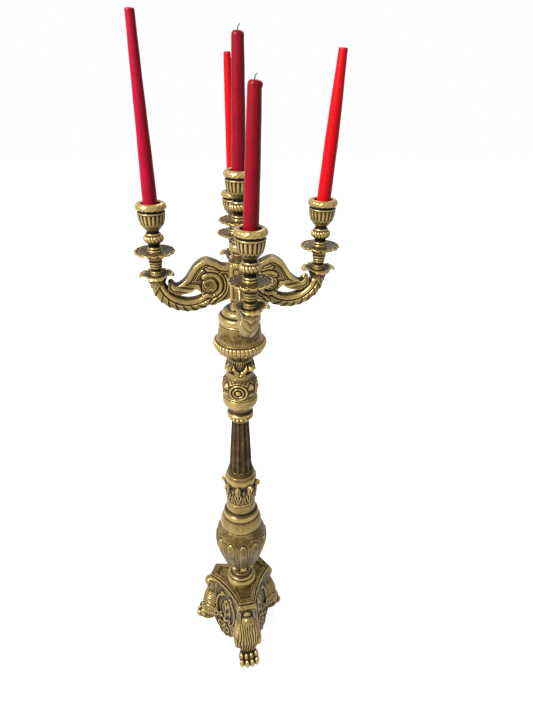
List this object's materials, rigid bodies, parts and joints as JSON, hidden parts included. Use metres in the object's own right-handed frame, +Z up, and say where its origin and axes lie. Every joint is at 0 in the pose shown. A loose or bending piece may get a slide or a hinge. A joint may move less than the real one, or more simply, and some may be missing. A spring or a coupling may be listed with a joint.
{
  "type": "torchere candle stand",
  "caption": "Tall floor candelabrum: turned and fluted brass column on a paw-footed base, with a lift-off turning head of scrolled arms, drip pans, sockets and tapered candles.",
  "frame": {"origin": "on the floor under the column's axis, at the middle of the bounding box's bottom", "axes": "+Z up along the column, -Y towards the front arm, +X towards the right arm"},
  "size_m": [0.3276, 0.3274, 1.2827],
  "materials": {
    "brass": "old patinated brass, rubbed bright on its high places",
    "dark_brass": "darkened brass",
    "steel": "plain turned steel",
    "crimson_wax": "satin candle wax",
    "red_wax": "satin candle wax",
    "wick": "charred cotton"
  },
  "bodies": {
    "stand": {"plinth": "brass", "leg_front": "brass", "leg_right": "brass", "leg_left": "brass", "leg_screw_front": "steel", "leg_screw_right": "steel", "leg_screw_left": "steel", "apron_right": "brass", "apron_back": "brass", "apron_left": "brass", "socle_ring": "brass", "leaf_collar": "brass", "gadrooned_bulb": "brass", "shoulder_torus": "brass", "leaf_drum": "brass", "drum_ring": "brass", "fluted_shaft": "brass", "bead_collar": "brass", "torus_ring": "brass", "cartouche_bulb": "brass", "leaf_capital": "brass", "beaded_bowl": "brass", "bell_top": "brass", "tie_rod": "steel", "tie_rod_washer": "steel", "tie_rod_nut": "steel", "tie_rod_top_nut": "steel"},
    "spigot": {"spigot": "steel"},
    "head": {"head_foot": "brass", "hub": "brass", "centre_stem": "brass", "head_rod": "steel", "arm_front": "brass", "arm_right": "brass", "arm_back": "brass", "arm_left": "brass", "neck_front": "dark_brass", "neck_right": "dark_brass", "neck_back": "dark_brass", "neck_left": "dark_brass", "pan_centre": "brass", "pan_front": "brass", "pan_right": "brass", "pan_back": "brass", "pan_left": "brass", "socket_centre": "brass", "socket_front": "brass", "socket_right": "brass", "socket_back": "brass", "socket_left": "brass"},
    "candle_centre": {"candle_centre": "crimson_wax", "wick_centre": "wick"},
    "candle_front": {"candle_front": "crimson_wax", "wick_front": "wick"},
    "candle_right": {"candle_right": "red_wax"},
    "candle_back": {"candle_back": "red_wax"},
    "candle_left": {"candle_left": "crimson_wax"}
  },
  "joints": [
    {"name": "head_lift", "type": "slide", "parent": "stand", "child": "spigot", "axis": [0, 0, 1], "range_m": [0, 0.022]},
    {"name": "head_swivel", "type": "hinge", "parent": "spigot", "child": "head", "pos_m": [0, 0, 0.845], "axis": [0, 0, 1], "continuous": true},
    {"name": "candle_lift_centre", "type": "slide", "parent": "head", "child": "candle_centre", "axis": [0, 0, 1], "range_m": [0, 0.03]},
    {"name": "candle_lift_front", "type": "slide", "parent": "head", "child": "candle_front", "axis": [0.0209, 0, 0.9998], "range_m": [0, 0.03]},
    {"name": "candle_lift_right", "type": "slide", "parent": "head", "child": "candle_right", "axis": [0.0593, 0, 0.9982], "range_m": [0, 0.03]},
    {"name": "candle_lift_back", "type": "slide", "parent": "head", "child": "candle_back", "axis": [-0.0366, 0, 0.9993], "range_m": [0, 0.03]},
    {"name": "candle_lift_left", "type": "slide", "parent": "head", "child": "candle_left", "axis": [-0.0157, 0, 0.9999], "range_m": [0, 0.03]}
  ]
}
